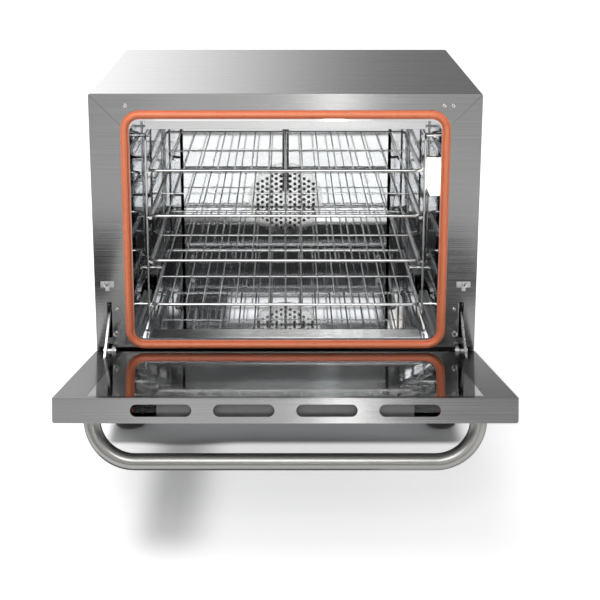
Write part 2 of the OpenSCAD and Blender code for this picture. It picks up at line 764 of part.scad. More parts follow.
module heating_element() color("dimgray") place() {
  for (turn = [0, 1]) {
    y = heater_in + turn * heater_step;
    translate([0, y, fan_z]) rotate([90, 0, 0]) rotate(heater_from[turn])
      rotate_extrude(angle=heater_to - heater_from[turn]) translate([heater_r, 0]) circle(r=heater_tube);
    leg_place(heater_from[turn]) bar_y(leg_r, y, cavity_d + 24 - y);
  }
  leg_place(heater_to - 8) bar_y(leg_r, heater_in, heater_step);
}

// Steam tube from the ceiling down to the fan's eye
module steam_tube() color("silver") place() translate([0, steam_in, 0]) {
  low = fan_z + steam_up;
  difference() {
    translate([0, 0, low]) cylinder(r=steam_r, h=ceiling_z + 20 - low);
    translate([0, 0, low - 1]) cylinder(r=steam_r - 1, h=ceiling_z + 22 - low);
  }
}

module temperature_probe() color("silver") place() translate([0, 0, probe_z]) {
  y = (baffle_in + baffle_t + cavity_d) / 2;
  translate([probe_x, 0, 0]) bar_y(3, y, cavity_d + 16 - y);
  translate([probe_x, y, 0]) sphere(r=3.8);
  translate([probe_x - 45, y, 0]) bar_x(3, 90);
}

// Lamp: a tray behind the wall, a bulb in it and a glass over it
tray_in = cavity_w / 2 + liner_t + edge_gap;
tray_deep = 20;

module lamp_housing() color("silver") place() difference() {
  lamp_cut(2, tray_in, tray_deep);
  lamp_cut(5, tray_in - 1, tray_deep + 1 - liner_t);
}

module lamp_bulb() color("ivory") place()
  translate([tray_in + 5, lamp_in + lamp_l / 2, floor_z + lamp_up]) {
    rotate([90, 0, 0]) rotate_extrude() polygon([[0, -19], [3, -19], [6, -16], [6, 16], [3, 19], [0, 19]]);
    sideways(0, tray_deep - liner_t - 5 - seat) square([5, 10], center=true);
  }

module lamp_glass() color("white", 0.5) place() difference() {
  lamp_cut(0, cavity_w / 2 - lamp_proud, lamp_proud - 0.1);
  lamp_cut(6, cavity_w / 2 - lamp_proud + 3, lamp_proud);
}

// Motor on a plate that stands off the cavity's back wall on four posts
plate_w = 4 * motor_r - 2;
plate_h = 3 * motor_r + 2;
post_places = [for (x = [-1, 1], z = [-1, 1]) [x * (plate_w / 2 - 13), z * (plate_h / 2 - 12)]];

module motor_plate() color("silver") place() {
  wall = cavity_d + liner_t + edge_gap;
  translate([0, 0, fan_z]) {
    upright(plate_in, 2) difference() {
      rounded(plate_w, plate_h, 8);
      circle(r=motor_boss_r + seat);
    }
    for (p = post_places) translate([p[0], 0, p[1]])
      bar_y(4, wall, plate_in - wall);
  }
}

module fan_motor() color("dimgray") place() translate([0, 0, fan_z]) difference() {
  union() {
    bar_y(motor_r, motor_in, motor_l);
    bar_y(motor_boss_r, motor_in - 13, 14);
    for (a = [0:60:300]) rotate([0, a, 0]) translate([motor_r - 2, motor_in + 6, -3])
      cube([4.5, motor_l - 12, 6]);
  }
  bar_y(shaft_r + running, 0, motor_in + motor_l - 6);
}

// Fittings on the back
module exhaust_pipe() color("silver") place() translate([exhaust_x, 0, exhaust_z]) difference() {
  union() {
    bar_y(exhaust_r, cavity_d + edge_gap, back_reach - cavity_d - edge_gap);
    bar_y(exhaust_r + 8, body_d, 1.5);
  }
  bar_y(exhaust_r - 1.5, cavity_d - 1, body_d);
}

module water_inlet() color("tan") place() translate([inlet_x, 0, service_z]) difference() {
  union() {
    bar_y(inlet_r, body_d - 22, 44);
    translate([0, body_d, 0]) rotate([-90, 0, 0]) cylinder(r=inlet_r + 5, h=7, $fn=6);
  }
  bar_y(inlet_r - 4, body_d - 30, 60);
}

module cable_gland() color("black") place() translate([gland_x, 0, service_z]) difference() {
  union() {
    bar_y(gland_bore + 5, body_d - 12, 22);
    translate([0, body_d, 0]) rotate([-90, 0, 0]) cylinder(r=gland_bore + 9, h=6, $fn=6);
    translate([0, body_d + 6, 0]) rotate([-90, 0, 0]) cylinder(r1=gland_bore + 7, r2=gland_bore + 3, h=14);
  }
  bar_y(gland_bore, body_d - 20, 60);
}

// Terminal block: six screw wells and a wire channel, on the base pan
module terminal_block() color("ivory") place() {
  pole = 11.2;
  poles = 6;
  deep = 26;
  high = 22;
  wide = poles * pole + 2.8;
  translate([gland_x + 10, body_d - 95, foot_h + sheet_t]) difference() {
    cube([wide, deep, high]);
    for (i = [0:poles - 1]) translate([7 + i * pole, deep / 2, 12]) cylinder(r=3, h=high);
    translate([-1, deep / 2 - 5, high - 4]) cube([wide + 2, 10, high]);
  }
}

// Stay geometry: the door angle a runs from 0 shut to door_open
function stay_pin(a) = [
  -door_gap - stay_v * sin(a) - stay_in * cos(a),
  hinge_z + stay_v * cos(a) - stay_in * sin(a)
];
function stay_slope(a) = stay_shut + (stay_open - stay_shut) * a / door_open;
function stay_tail(a) = stay_pin(a) + stay_l * [cos(stay_slope(a)), sin(stay_slope(a))];
function stay_ratio() = (stay_open - stay_shut) / door_open - 1;

// The curved track of the stay's rear pin, which follows the pin's own path
module stay_track() {
  steps = 16;
  half = stay_pin_r + 0.4;
  path = [for (i = [0:steps]) stay_tail(door_open * i / steps)];
  way = [for (i = [0:steps]) path[min(i + 1, steps)] - path[max(i - 1, 0)]];
  side = [for (w = way) [-w[1], w[0]] / norm(w) * half];
  polygon(concat([for (i = [0:steps]) path[i] + side[i]], [for (i = [steps:-1:0]) path[i] - side[i]]));
  translate(path[0]) circle(r=half);
  translate(path[steps]) circle(r=half);
}

// Receiver: two plates behind the stile with the stay's track, and the eyes of the hinge pin in front
module receiver_plate() difference() {
  y0 = frame_t + seat;
  union() {
    translate([y0, hinge_z - 2]) square([20, receiver_high + 1]);
    translate([y0, hinge_z + receiver_high - track_h]) square([receiver_deep, track_h]);
    translate([-door_gap, hinge_z - 2]) square([door_gap + y0 + 1, 10]);
    translate([-door_gap, hinge_z]) circle(r=eye_r);
  }
  translate([-door_gap, hinge_z]) circle(r=pin_r + running);
  stay_track();
}

module hinge_receiver() color("silver") place() {
  y0 = frame_t + seat;
  half = plate_gap / 2;
  difference() {
    union() {
      for (x = [-half - plate_t, half]) sideways(hinge_x + x, plate_t) receiver_plate();
      translate([hinge_x - half - plate_t, y0 + 6, hinge_z + receiver_high - 2])
        cube([plate_gap + 2 * plate_t, receiver_deep - 6, plate_t]);
      translate([hinge_x - half - plate_t, y0, hinge_z + receiver_high - 7]) cube([tab_w, plate_t, tab_w]);
      translate([hinge_x - half - plate_t - 10, y0, hinge_z + tab_low]) cube([11, plate_t, tab_h]);
    }
    for (p = receiver_screws) translate([p[0], 0, p[1]]) bar_y(2.6, 0, 10);
  }
}

module hinge_receiver_left() mirror([1, 0, 0]) hinge_receiver();
module hinge_receiver_right() hinge_receiver();

// Stay arm: a flat bar with an eye on the door's pin and a riveted pin in the receiver's track
module stay_arm(s) color("silver") place() {
  a = stay_pin(door_open);
  b = stay_tail(door_open);
  along = stay_slope(door_open);
  translate([s * hinge_x, 0, 0]) {
    sideways(-stay_t / 2, stay_t) difference() {
      union() {
        translate(a) circle(r=stay_half + 2);
        translate(b) circle(r=stay_half + 1);
        translate(a) rotate(along) translate([0, -stay_half]) square([stay_l, 2 * stay_half]);
      }
      translate(a) circle(r=stay_pin_r + running);
    }
    translate([0, b[0], b[1]]) bar_x(stay_pin_r, plate_gap + 2 * plate_t + 2);
  }
}

module stay_arm_left() stay_arm(-1);
module stay_arm_right() stay_arm(1);

// Door skin: the outer tray with its window, cooling slots and hinge notches
module door_section(margin, inner) {
  half = body_w / 2 - margin;
  r = max(casing_r - margin, 0.5);
  translate([-half, -door_t + margin + r]) square([2 * half, inner + door_t - margin - r]);
  translate([r - half, -door_t + margin]) square([2 * (half - r), inner + door_t - margin]);
  for (x = [-1, 1]) translate([x * (half - r), r + margin - door_t]) circle(r=r);
}

module cool_slots() for (i = [0:cool_count - 1])
  translate([(i - (cool_count - 1) / 2) * cool_pitch, -door_t / 2]) slot_shape(cool_l, cool_w);

window_mid = door_h / 2 + 5;
carrier_half = plate_gap / 2 + plate_t + 0.4;
notch_half = carrier_half + plate_t + 2;

module door_skin() color("silver") on_door() difference() {
  linear_extrude(door_h) door_section(0, -sheet_t - edge_gap);
  translate([0, 0, sheet_t]) linear_extrude(door_h - 2 * sheet_t) door_section(sheet_t, 1);
  upright_door(-door_t - 1, 4) rounded(window_w, window_h, 10);
  translate([0, 0, -1]) linear_extrude(door_h + 2) cool_slots();
  for (s = [-1, 1]) {
    translate([s * hinge_x, 0, 0]) cube([2 * notch_half, 2 * eye_r + 2, 4], center=true);
    translate([s * handle_span / 2, -door_t - 1, door_h - handle_end]) bar_y(3.2, 0, 4);
  }
}

// Stands an outline on the door, centred on the window
module upright_door(y0, deep) translate([0, y0 + deep, window_mid]) rotate([90, 0, 0])
  linear_extrude(deep) children();

module door_outer_glass() color("dimgray", 0.6) on_door()
  upright_door(sheet_t + 0.1 - door_t, glass_t) 
    rounded(window_w + 2 * window_lap, window_h + 2 * window_lap, 6);

// Inner frame: the steel border round the inner pane, with a stepped seat for the pane
module door_inner_frame() color("silver") on_door() {
  high = pane_high - pane_low;
  seat_y = -seat - glass_t - 0.2;
  difference() {
    union() {
      translate([-body_w / 2, -sheet_t, 0]) cube([body_w, sheet_t, door_h]);
      translate([-pane_w / 2 - sheet_t, seat_y - sheet_t, pane_low - sheet_t])
        cube([pane_w + 2 * sheet_t, -seat_y, high + 2 * sheet_t]);
    }
    translate([-pane_w / 2, seat_y, pane_low]) cube([pane_w, door_t, high]);
    translate([-pane_w / 2 + ledge, -door_t, pane_low + ledge])
      cube([pane_w - 2 * ledge, 2 * door_t, high - 2 * ledge]);
    for (s = [-1, 1]) {
      translate([s * hinge_x, 0, 0]) cube([2 * notch_half, 3 * sheet_t, 2 * eye_r + 4], center=true);
      translate([s * hinge_x, 0, stay_v - 4]) cube([slot_w, 3 * sheet_t, 26], center=true);
    }
  }
}

module door_inner_glass() color("dimgray", 0.6) on_door()
  translate([-pane_w / 2 + seat, -seat - glass_t, pane_low + seat])
    cube([pane_w - 2 * seat, glass_t, pane_high - pane_low - 2 * seat]);

// Carrier: the channel inside the door that holds the hinge pin and the stay's pin
module hinge_carrier(s) color("gray") on_door() translate([s * hinge_x, 0, 0]) {
  deep = door_t - 9;
  high = stay_v + 42;
  foot = 12;
  for (x = [-carrier_half - plate_t, carrier_half]) sideways(x, plate_t) difference() {
    union() {
      translate([-deep, sheet_t + seat]) square([deep - sheet_t - seat, high]);
      circle(r=eye_r);
    }
    circle(r=pin_r + running);
    translate([-stay_in, stay_v]) circle(r=stay_pin_r + running);
  }
  translate([-carrier_half - plate_t, -deep, foot])
    cube([2 * (carrier_half + plate_t), plate_t, high - foot + sheet_t + seat]);
}

module hinge_carrier_left() hinge_carrier(-1);
module hinge_carrier_right() hinge_carrier(1);

// Hinge pins on the door's axis and the pins of the two stays
module headed_pin(r) {
  bar_x(r, 2 * (carrier_half + plate_t) + 0.4);
  for (s = [-1, 1]) translate([s * (carrier_half + plate_t + 0.2 + 0.6), 0, 0]) bar_x(r + 1.5, 1.2);
}

module hinge_pins() color("gray") on_door() for (s = [-1, 1]) translate([s * hinge_x, 0, 0]) {
  headed_pin(pin_r);
  translate([0, -stay_in, stay_v]) headed_pin(stay_pin_r);
}

// Handle: one tube bent at both ends, on two foot plates
module door_handle() color("lightgray") on_door()
  translate([0, -door_t - rosette_t, door_h - handle_end]) rotate([180, 0, 0]) {
    bend = handle_off - rosette_t;
    half = handle_span / 2 - bend;
    translate([0, bend, 0]) bar_x(handle_r, 2 * half);
    for (s = [0, 1]) mirror([s, 0, 0]) translate([half, 0, 0])
      rotate_extrude(angle=90) translate([bend, 0]) circle(r=handle_r);
  }

module handle_rosettes() color("lightgray") on_door() for (s = [-1, 1])
  translate([s * handle_span / 2, 0, door_h - handle_end]) {
    bar_y(rosette_r, -door_t - rosette_t, rosette_t);
    bar_y(3, -door_t - 1, 8);
    bar_y(6, sheet_t + edge_gap - door_t, 4);
  }

outer_casing();
front_frame();
rear_panel();
base_pan();
control_panel();
cavity_liner();
insulation();
door_seal();
foot_front_left();
foot_front_right();
foot_rear_left();
foot_rear_right();
ladder_left();
ladder_right();
ladder_studs();
air_baffle();
baffle_screws();
fan_guard();
heating_element();
steam_tube();
temperature_probe();
lamp_housing();
lamp_bulb();
lamp_glass();
motor_plate();
fan_motor();
exhaust_pipe();
water_inlet();
cable_gland();
terminal_block();
hinge_receiver_left();
hinge_receiver_right();
frame_screws();
thermostat();
timer();
steam_switch();
pilot_lamps();
fan_wheel();
fan_shaft();
fan_nut();
door_skin();
door_outer_glass();
door_inner_frame();
door_inner_glass();
hinge_carrier_left();
hinge_carrier_right();
hinge_pins();
door_handle();
handle_rosettes();
stay_arm_left();
stay_arm_right();
rack_1();
rack_2();
rack_3();
rack_4();
thermostat_knob();
timer_knob();
steam_button();
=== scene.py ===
# %% [markdown]
# # A countertop convection oven with its door down
#
# The solids come from the CAD model: casing, door, seal, racks and all that moves. They are
# loaded here as a fixed frame and never moved. This lesson gives them their finishes, adds the
# marks and small fasteners that a maker puts on last, and lights them as in a product photo.

# %% Load the frame and keep its size
import json
import math
import bmesh
import bpy
from mathutils import Matrix, Vector


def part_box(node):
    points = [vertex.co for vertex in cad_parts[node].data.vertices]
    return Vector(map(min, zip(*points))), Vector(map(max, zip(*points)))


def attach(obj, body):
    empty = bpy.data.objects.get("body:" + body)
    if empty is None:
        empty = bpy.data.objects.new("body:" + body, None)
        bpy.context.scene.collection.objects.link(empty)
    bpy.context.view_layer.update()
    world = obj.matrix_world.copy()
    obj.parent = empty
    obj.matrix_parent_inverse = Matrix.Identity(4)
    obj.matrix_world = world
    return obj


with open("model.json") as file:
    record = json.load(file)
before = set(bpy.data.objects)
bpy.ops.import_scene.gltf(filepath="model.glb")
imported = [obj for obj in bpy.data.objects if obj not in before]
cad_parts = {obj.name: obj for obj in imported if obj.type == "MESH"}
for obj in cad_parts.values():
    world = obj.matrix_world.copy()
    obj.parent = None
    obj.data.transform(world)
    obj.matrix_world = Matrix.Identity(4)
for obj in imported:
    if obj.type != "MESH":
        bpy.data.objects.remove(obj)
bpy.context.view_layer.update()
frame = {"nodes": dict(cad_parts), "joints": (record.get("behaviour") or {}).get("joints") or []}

nodes = frame["nodes"]

# %% [markdown]
# ## Where things are
#
# Every new piece takes its place from the solids beside it, so that it still fits when a size
# changes. A solid's box gives its lowest and highest corners, in metres.

# %% Places read from the solids
MM = 0.001
front_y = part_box("front_frame")[0].y
panel_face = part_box("control_panel")[0].y
rear_low, rear_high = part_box("rear_panel")
rear_y = rear_high.y
print("front face at", round(front_y, 4), "rear face at", round(rear_y, 4))

# %% [markdown]
# ## One way to start every material
#
# Every finish here is one Principled shader. A short helper makes the material, sets the numbers
# that are the same all over, and hands back its nodes so that a pattern can be added.

# %% A helper for plain finishes
def finish_of(name, colour, metallic=0.0, roughness=0.5, **sockets):
    material = bpy.data.materials.new(name)
    material.use_nodes = True
    tree = material.node_tree
    shader = tree.nodes["Principled BSDF"]
    shader.inputs["Base Color"].default_value = (*colour, 1.0)
    shader.inputs["Metallic"].default_value = metallic
    shader.inputs["Roughness"].default_value = roughness
    for socket, value in sockets.items():
        shader.inputs[socket.replace("_", " ")].default_value = value
    return material, tree, shader


print("finish helper ready")

# %% [markdown]
# ## Three steps that patterns share
#
# A material is a small network of nodes. Three steps come back again and again: a number is
# stretched from one range to another, several numbers are added or multiplied, and a colour is
# made lighter or darker by a number. Each helper makes the nodes for one step and joins them up.

# %% Helpers for nodes
def map_range(tree, source, low, high, at_low, at_high, kind="SMOOTHSTEP"):
    node = tree.nodes.new("ShaderNodeMapRange")
    node.interpolation_type = kind
    node.inputs["From Min"].default_value = low
    node.inputs["From Max"].default_value = high
    node.inputs["To Min"].default_value = at_low
    node.inputs["To Max"].default_value = at_high
    tree.links.new(source, node.inputs["Value"])
    return node.outputs["Result"]


def calculate(tree, operation, *sources):
    result = sources[0]
    for source in sources[1:]:
        node = tree.nodes.new("ShaderNodeMath")
        node.operation = operation
        tree.links.new(result, node.inputs[0])
        if isinstance(source, float):
            node.inputs[1].default_value = source
        else:
            tree.links.new(source, node.inputs[1])
        result = node.outputs["Value"]
    return result


def scale_colour(tree, shader, colour, amount):
    scaled = tree.nodes.new("ShaderNodeVectorMath")
    scaled.operation = "SCALE"
    if isinstance(colour, bpy.types.NodeSocket):
        tree.links.new(colour, scaled.inputs[0])
    else:
        scaled.inputs[0].default_value = colour
    tree.links.new(amount, scaled.inputs["Scale"])
    tree.links.new(scaled.outputs["Vector"], shader.inputs["Base Color"])


print("node helpers ready")

# %% [markdown]
# ## The grain of brushed steel
#
# Brushed sheet is scratched in one direction by a belt. A noise that is squeezed across the
# grain and left long along it gives the same look: it changes the roughness a little from
# scratch to scratch, lifts the surface by a hair and shades it a little. It is read from Object
# coordinates, so it stays on the sheet when the door turns. With the same scale in all three
# directions it is a fine skin, for cast, moulded and drawn parts.

# %% A helper for the grain
GRAIN_HEIGHT = 0.0002


def add_grain(tree, shader, squeeze, rough, lift, shade=0.0):
    coords = tree.nodes.new("ShaderNodeTexCoord")
    mapping = tree.nodes.new("ShaderNodeMapping")
    mapping.inputs["Scale"].default_value = squeeze
    noise = tree.nodes.new("ShaderNodeTexNoise")
    noise.inputs["Scale"].default_value = 1.0
    noise.inputs["Detail"].default_value = 3.0
    bump = tree.nodes.new("ShaderNodeBump")
    bump.inputs["Strength"].default_value = lift
    bump.inputs["Distance"].default_value = GRAIN_HEIGHT
    link = tree.links.new
    link(coords.outputs["Object"], mapping.inputs["Vector"])
    link(mapping.outputs["Vector"], noise.inputs["Vector"])
    grain = noise.outputs["Fac"]
    link(map_range(tree, grain, 0.3, 0.7, *rough, kind="LINEAR"), shader.inputs["Roughness"])
    link(grain, bump.inputs["Height"])
    link(bump.outputs["Normal"], shader.inputs["Normal"])
    if shade:
        amount = map_range(tree, grain, 0.25, 0.75, 1.0 - shade, 1.0 + shade, kind="LINEAR")
        scale_colour(tree, shader, shader.inputs["Base Color"].default_value[:3], amount)


def add_skin(tree, shader, size, rough, lift, shade=0.0):
    add_grain(tree, shader, (size, size, size), rough, lift, shade)


print("grain is lifted by up to", GRAIN_HEIGHT, "m")

# %% [markdown]
# ## Steel sheet of the casing, the frame and the door
#
# The casing is one sheet bent over the top, so its grain crosses the top and runs down the sides.
# The front frame and the door are brushed from side to side, and a little darker: that darker
# colour is painted shade. The handle is a satin tube with hardly any grain. So the same steel has
# three materials here.

# %% Brushed sheet
ALONG = 4.0
ACROSS = 900.0

wrapped_sheet, tree, shader = finish_of(
    "brushed sheet bent over the top", (0.32, 0.32, 0.318), metallic=1.0,
)
add_grain(tree, shader, (ALONG, ACROSS, ALONG), rough=(0.22, 0.32), lift=0.1, shade=0.12)
# The front's darker colour than the casing's is painted shade.
front_sheet, tree, shader = finish_of(
    "brushed sheet of the front", (0.27, 0.27, 0.268), metallic=1.0,
    Specular_Tint=(0.45, 0.45, 0.45, 1.0),
)
add_grain(tree, shader, (ALONG, ACROSS, ACROSS), rough=(0.12, 0.19), lift=0.14, shade=0.12)
satin_tube, tree, shader = finish_of(
    "satin tube of the handle", (0.37, 0.366, 0.35), metallic=1.0,
    Specular_Tint=(0.25, 0.25, 0.24, 1.0),
)
add_grain(tree, shader, (ALONG, ACROSS, ACROSS), rough=(0.32, 0.37), lift=0.01, shade=0.02)
print("brushed finishes:", wrapped_sheet.name, "/", front_sheet.name, "/", satin_tube.name)

# %% [markdown]
# ## Polished steel inside
#
# The cavity is polished so that it wipes clean, and it mirrors the racks. A polished sheet is
# never quite flat. A slow, shallow noise bends the reflections as a real sheet does.

# %% Polished sheet, wire and zinc-coated sheet
def add_wobble(tree, shader, size, lift):
    coords = tree.nodes.new("ShaderNodeTexCoord")
    noise = tree.nodes.new("ShaderNodeTexNoise")
    noise.inputs["Scale"].default_value = size
    noise.inputs["Detail"].default_value = 0.0
    bump = tree.nodes.new("ShaderNodeBump")
    bump.inputs["Strength"].default_value = 1.0
    bump.inputs["Distance"].default_value = lift
    tree.links.new(coords.outputs["Object"], noise.inputs["Vector"])
    tree.links.new(noise.outputs["Fac"], bump.inputs["Height"])
    tree.links.new(bump.outputs["Normal"], shader.inputs["Normal"])


polished_sheet, tree, shader = finish_of(
    "polished sheet", (0.6, 0.61, 0.625), metallic=1.0, roughness=0.04,
)
add_wobble(tree, shader, size=2.2, lift=0.09 * MM)
bright_sheet, tree, shader = finish_of(
    "bright baffle sheet", (0.78, 0.79, 0.8), metallic=1.0, roughness=0.05,
)
add_wobble(tree, shader, size=2.5, lift=0.15 * MM)
guard_sheet, tree, shader = finish_of("fine guard sheet", (0.68, 0.68, 0.67), metallic=1.0)
add_skin(tree, shader, 60.0, rough=(0.07, 0.12), lift=0.02, shade=0.03)
bright_wire, tree, shader = finish_of("bright wire", (0.62, 0.62, 0.615), metallic=1.0)
add_skin(tree, shader, 160.0, rough=(0.11, 0.2), lift=0.04, shade=0.06)
plain_screw, tree, shader = finish_of("plain screw steel", (0.66, 0.66, 0.65), metallic=1.0)
add_skin(tree, shader, 400.0, rough=(0.18, 0.3), lift=0.06, shade=0.05)
zinc_sheet, tree, shader = finish_of("zinc-coated sheet", (0.56, 0.57, 0.58), metallic=1.0)
add_skin(tree, shader, 60.0, rough=(0.3, 0.5), lift=0.1, shade=0.12)
print("polished and plain metals ready")

# %% [markdown]
# ## Silicone, rubber, plastic and glass
#
# The seal is soft silicone with a satin skin, and a little light goes into it, which is what
# makes it look warm. The door's glass is dark and smooth: seen at a flat angle it mirrors the
# cavity, and that comes from its index of refraction alone.

# %% Soft and clear finishes
silicone, tree, shader = finish_of(
    "orange silicone", (0.9, 0.26, 0.12), roughness=0.3,
    Subsurface_Weight=0.12, Subsurface_Scale=0.004,
)
add_skin(tree, shader, 90.0, rough=(0.26, 0.4), lift=0.05, shade=0.05)
foot_rubber, tree, shader = finish_of("foot rubber", (0.012, 0.012, 0.012))
add_skin(tree, shader, 500.0, rough=(0.5, 0.68), lift=0.3, shade=0.15)
black_plastic, tree, shader = finish_of("black plastic", (0.02, 0.02, 0.021))
add_skin(tree, shader, 900.0, rough=(0.32, 0.46), lift=0.25, shade=0.1)
dark_glass, tree, shader = finish_of(
    "dark door glass", (0.36, 0.38, 0.38),
    Transmission_Weight=1.0, IOR=1.5, Specular_IOR_Level=0.3,
)
add_skin(tree, shader, 6.0, rough=(0.02, 0.06), lift=0.0)
lamp_cover, tree, shader = finish_of(
    "frosted lamp glass", (0.95, 0.95, 0.92), Transmission_Weight=0.8, IOR=1.47,
    Emission_Color=(1.0, 0.96, 0.88, 1.0), Emission_Strength=0.4,
)
add_skin(tree, shader, 250.0, rough=(0.3, 0.4), lift=0.1)
lit_bulb, _, _ = finish_of(
    "lit bulb", (1.0, 0.95, 0.85), roughness=0.3,
    Emission_Color=(1.0, 0.9, 0.74, 1.0), Emission_Strength=7.0,
)
amber_lens, tree, shader = finish_of("amber lens", (0.9, 0.35, 0.03), Coat_Weight=0.5)
add_skin(tree, shader, 600.0, rough=(0.1, 0.2), lift=0.15, shade=0.1)
print("silicone, rubber, plastic and glass ready")

# %% [markdown]
# ## The plain inner parts
#
# Behind the panels are a black motor, an oxidised heater, a pressed aluminium fan wheel, loose
# mineral wool, a white terminal block and a brass inlet. Each has its own skin: the motor's paint
# is slightly orange-peeled, the heater is blotched by heat and the wool is fibrous.

# %% Finishes behind the panels
motor_black, tree, shader = finish_of("motor black", (0.03, 0.03, 0.033))
add_skin(tree, shader, 350.0, rough=(0.38, 0.52), lift=0.4, shade=0.1)
heater_skin, tree, shader = finish_of("oxidised heater", (0.16, 0.15, 0.14), metallic=0.8)
add_skin(tree, shader, 70.0, rough=(0.4, 0.6), lift=0.2, shade=0.35)
stained_aluminium, tree, shader = finish_of(
    "heat-stained aluminium", (0.13, 0.125, 0.12), metallic=1.0,
)
add_skin(tree, shader, 45.0, rough=(0.38, 0.52), lift=0.1, shade=0.25)
plate_aluminium, tree, shader = finish_of("plate aluminium", (0.5, 0.5, 0.51), metallic=1.0)
add_skin(tree, shader, 300.0, rough=(0.34, 0.46), lift=0.1, shade=0.05)
white_block, tree, shader = finish_of("white block", (0.72, 0.7, 0.64))
add_skin(tree, shader, 300.0, rough=(0.52, 0.68), lift=0.2, shade=0.05)
brass, tree, shader = finish_of("brass", (0.72, 0.52, 0.22), metallic=1.0)
add_skin(tree, shader, 350.0, rough=(0.24, 0.36), lift=0.1, shade=0.06)
wool, tree, shader = finish_of("mineral wool", (0.42, 0.36, 0.2))
add_skin(tree, shader, 180.0, rough=(0.85, 1.0), lift=0.9, shade=0.3)
mark_white, tree, shader = finish_of("white printed mark", (0.8, 0.8, 0.78))
add_skin(tree, shader, 800.0, rough=(0.4, 0.55), lift=0.1, shade=0.03)
print("inner finishes ready")

# %% [markdown]
# ## Dress the solids
#
# Each solid gets its finish by name. A table keeps this readable: the finish first, then every
# solid that wears it. The last line names any solid that was forgotten.

# %% Give every solid its finish
wearing = [
    (wrapped_sheet, ["outer_casing", "exhaust_pipe"]),
    (front_sheet, ["front_frame", "control_panel", "rear_panel", "door_skin", "door_inner_frame"]),
    (satin_tube, ["door_handle", "handle_rosettes"]),
    (polished_sheet, ["cavity_liner"]),
    (bright_sheet, ["air_baffle"]),
    (guard_sheet, ["fan_guard"]),
    (bright_wire, ["ladder_left", "ladder_right", "ladder_studs",
                   "rack_1", "rack_2", "rack_3", "rack_4"]),
    (plain_screw, ["baffle_screws", "frame_screws", "hinge_pins", "stay_arm_left",
                   "stay_arm_right", "temperature_probe", "steam_tube", "fan_shaft", "fan_nut"]),
    (zinc_sheet, ["base_pan", "lamp_housing", "motor_plate", "hinge_receiver_left",
                  "hinge_receiver_right", "hinge_carrier_left", "hinge_carrier_right"]),
    (silicone, ["door_seal"]),
    (foot_rubber, ["foot_front_left", "foot_front_right", "foot_rear_left", "foot_rear_right"]),
    (dark_glass, ["door_outer_glass", "door_inner_glass"]),
    (lamp_cover, ["lamp_glass"]),
    (lit_bulb, ["lamp_bulb"]),
    (black_plastic, ["thermostat_knob", "timer_knob", "steam_button", "steam_switch",
                     "cable_gland"]),
    (amber_lens, ["pilot_lamps"]),
    (motor_black, ["fan_motor", "thermostat", "timer"]),
    (heater_skin, ["heating_element"]),
    (stained_aluminium, ["fan_wheel"]),
    (white_block, ["terminal_block"]),
    (brass, ["water_inlet"]),
    (wool, ["insulation"]),
]
for material, names in wearing:
    for name in names:
        nodes[name].data.materials.clear()
        nodes[name].data.materials.append(material)
dressed = {name for _, names in wearing for name in names}
print(len(dressed), "solids dressed; left over:", sorted(set(nodes) - dressed))

# %% [markdown]
# ## How a new piece joins the oven
#
# The solids hold every form that matters for size and motion. Marks, small fasteners and the
# painted shade of screw recesses are added here. Each new piece rides on one moving body, so that
# it follows the CAD motion, and carries its own finish.

# %% A helper for new pieces
def add_piece(name, shape, finish, body):
    bmesh.ops.recalc_face_normals(shape, faces=shape.faces)
    mesh = bpy.data.meshes.new(name)
    shape.to_mesh(mesh)
    shape.free()
    mesh.materials.append(finish)
    piece = bpy.data.objects.new(name, mesh)
    bpy.context.scene.collection.objects.link(piece)
    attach(piece, body)


def add_bar(shape, wide, deep, high, place, round_off=0.0, turn=0.0):
    corners = bmesh.ops.create_cube(shape, size=1.0)["verts"]
    bmesh.ops.scale(shape, vec=(wide, deep, high), verts=corners)
    if round_off:
        edges = {edge for corner in corners for edge in corner.link_edges}
        made = bmesh.ops.bevel(
            shape, geom=list(edges), offset=round_off, segments=2, affect="EDGES",
            profile=0.5, material=-1, clamp_overlap=True,
        )
        corners = list(set(made["verts"]) | {v for v in corners if v.is_valid})
    bmesh.ops.rotate(shape, verts=corners, cent=(0, 0, 0), matrix=Matrix.Rotation(turn, 3, "Y"))
    bmesh.ops.translate(shape, verts=corners, vec=place)


def add_cross(shape, reach, thick, arm, place, turn):
    for quarter in (0.0, math.pi / 2):
        add_bar(shape, reach, thick, arm, place, 0.1 * MM, turn + quarter)


print("helpers for new pieces ready")

# %% [markdown]
# ## Cross recesses
#
# The screws are plain pan heads in the CAD. Each gets a dark cross where a screwdriver goes in.
# The cross is not cut: it is painted shade of the recess, a thin near-black piece on the head. The
# places are read from the heads: every screw is an island of its own in the mesh.

# %% Crosses in the screw heads
def islands_of(name):
    shape = bmesh.new()
    shape.from_mesh(nodes[name].data)
    bmesh.ops.remove_doubles(shape, verts=shape.verts, dist=0.00001)
    left = set(shape.verts)
    found = []
    while left:
        reached, waiting = set(), [left.pop()]
        while waiting:
            vert = waiting.pop()
            reached.add(vert)
            for edge in vert.link_edges:
                other = edge.other_vert(vert)
                if other in left:
                    left.discard(other)
                    waiting.append(other)
        spots = [nodes[name].matrix_world @ vert.co for vert in reached]
        low = Vector([min(spot[i] for spot in spots) for i in range(3)])
        high = Vector([max(spot[i] for spot in spots) for i in range(3)])
        found.append((low, high))
    shape.free()
    return found


# Near-black finish: painted shade of the cross recesses.
painted_recess_shade, tree, shader = finish_of("painted shade of a cross recess", (0.03, 0.03, 0.03), metallic=0.6)
add_skin(tree, shader, 800.0, rough=(0.4, 0.6), lift=0.1, shade=0.1)
crosses = bmesh.new()
heads = [box for name in ("frame_screws", "baffle_screws") for box in islands_of(name)]
for low, high in heads:
    reach = (high.x - low.x) * 0.5
    middle = ((low.x + high.x) / 2, low.y - 0.05 * MM, (low.z + high.z) / 2)
    add_cross(crosses, reach, 0.4 * MM, reach * 0.22, middle, math.radians(20))
add_piece("screw_crosses", crosses, painted_recess_shade, "oven_body")
print(len(heads), "crosses cut")

